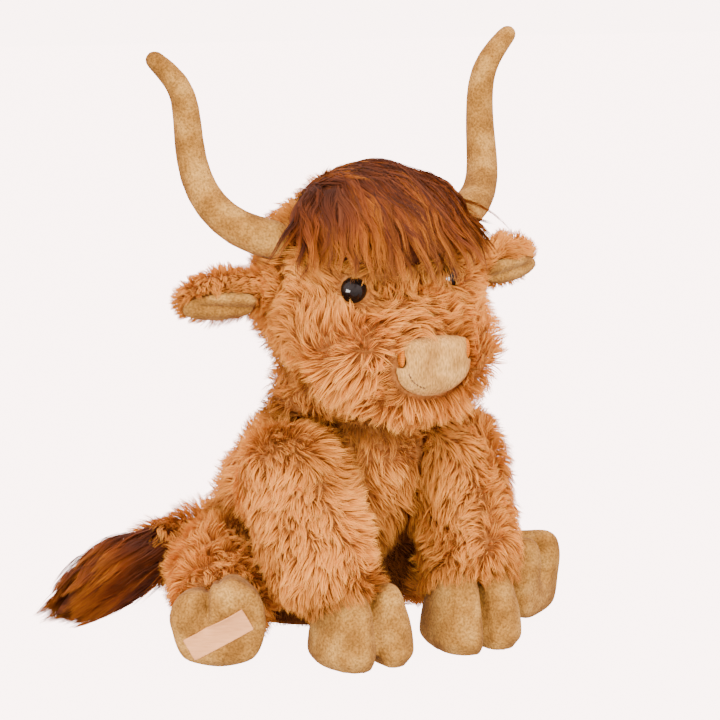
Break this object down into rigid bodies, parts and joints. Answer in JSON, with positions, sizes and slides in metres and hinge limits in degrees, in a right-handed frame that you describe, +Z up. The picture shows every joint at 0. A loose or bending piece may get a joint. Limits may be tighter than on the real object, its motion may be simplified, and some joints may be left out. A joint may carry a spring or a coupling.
{
  "type": "plush cow",
  "caption": "Seated stuffed Highland cow with shaggy golden fur, a long rust forelock, tall upswept velour horns, cloven velour hooves and a tufted tail.",
  "frame": {"origin": "centre of the seat panel's underside, on the plane that the cow sits on", "axes": "+Z up, -Y the way the cow faces, +X the cow's left side"},
  "size_m": [0.2166, 0.194, 0.2713],
  "materials": {
    "golden_fur": "long curly plush fur",
    "rust_hair": "long straight plush hair",
    "beige_velour": "short nap velour",
    "nose_velour": "short nap velour",
    "nostril_thread": "satin stitch",
    "eye_plastic": "glossy black",
    "washer_plastic": "moulded",
    "bag_cloth": "plain woven",
    "patch_cloth": "plain woven"
  },
  "bodies": {
    "body": {"body": "golden_fur", "seat_panel": "golden_fur", "seat_bean_bag": "bag_cloth"},
    "neck": {"neck": "golden_fur"},
    "head": {"head": "golden_fur", "forelock": "rust_hair", "nose_pad": "nose_velour", "nostril_left": "nostril_thread", "nostril_right": "nostril_thread", "eye_left": "eye_plastic", "eye_right": "eye_plastic", "eye_washer_left": "washer_plastic", "eye_washer_right": "washer_plastic"},
    "horn_left": {"horn_left": "beige_velour"},
    "ear_left": {"ear_left": "golden_fur", "ear_lining_left": "beige_velour"},
    "foreleg_left": {"foreleg_left": "golden_fur", "fore_hoof_left": "beige_velour"},
    "hind_leg_left": {"hind_leg_left": "golden_fur", "hind_hoof_left": "beige_velour"},
    "horn_right": {"horn_right": "beige_velour"},
    "ear_right": {"ear_right": "golden_fur", "ear_lining_right": "beige_velour"},
    "foreleg_right": {"foreleg_right": "golden_fur", "fore_hoof_right": "beige_velour"},
    "hind_leg_right": {"hind_leg_right": "golden_fur", "hind_hoof_right": "beige_velour", "sole_patch": "patch_cloth"},
    "tail": {"tail": "golden_fur", "tail_tuft": "rust_hair"}
  },
  "joints": [
    {"name": "head_turn", "type": "hinge", "parent": "body", "child": "neck", "pos_m": [0, -0.038, 0.121], "axis": [0, 0, 1], "range_deg": [-35, 35], "stiffness_Nm_per_rad": 0.3},
    {"name": "head_nod", "type": "hinge", "parent": "neck", "child": "head", "pos_m": [0, -0.038, 0.121], "axis": [1, 0, 0], "range_deg": [-8, 8], "stiffness_Nm_per_rad": 0.8},
    {"name": "horn_left_tilt", "type": "hinge", "parent": "head", "child": "horn_left", "pos_m": [0.04267, -0.0545, 0.18692], "axis": [0, 1, 0], "range_deg": [-10, 10], "stiffness_Nm_per_rad": 0.15},
    {"name": "ear_left_flap", "type": "hinge", "parent": "head", "child": "ear_left", "pos_m": [0.04304, -0.057, 0.16692], "axis": [0, 1, 0], "range_deg": [-12, 12], "stiffness_Nm_per_rad": 0.05},
    {"name": "foreleg_left_swing", "type": "hinge", "parent": "body", "child": "foreleg_left", "pos_m": [0.04, -0.056, 0.08], "axis": [-1, 0, 0], "range_deg": [0, 25]},
    {"name": "hind_leg_left_splay", "type": "hinge", "parent": "body", "child": "hind_leg_left", "pos_m": [0.042, 0.004, 0.026], "axis": [0, 0, 1], "range_deg": [0, 25]},
    {"name": "horn_right_tilt", "type": "hinge", "parent": "head", "child": "horn_right", "pos_m": [-0.04825, -0.0545, 0.18295], "axis": [0, 1, 0], "range_deg": [-10, 10], "stiffness_Nm_per_rad": 0.15},
    {"name": "ear_right_flap", "type": "hinge", "parent": "head", "child": "ear_right", "pos_m": [-0.04688, -0.057, 0.163], "axis": [0, 1, 0], "range_deg": [-12, 12], "stiffness_Nm_per_rad": 0.05},
    {"name": "foreleg_right_swing", "type": "hinge", "parent": "body", "child": "foreleg_right", "pos_m": [-0.04, -0.056, 0.08], "axis": [-1, 0, 0], "range_deg": [0, 25]},
    {"name": "hind_leg_right_splay", "type": "hinge", "parent": "body", "child": "hind_leg_right", "pos_m": [-0.042, 0.004, 0.026], "axis": [0, 0, -1], "range_deg": [0, 25]},
    {"name": "tail_swing", "type": "hinge", "parent": "body", "child": "tail", "pos_m": [-0.004, 0.059, 0.026], "axis": [0, 0, -1], "range_deg": [0, 35]}
  ]
}
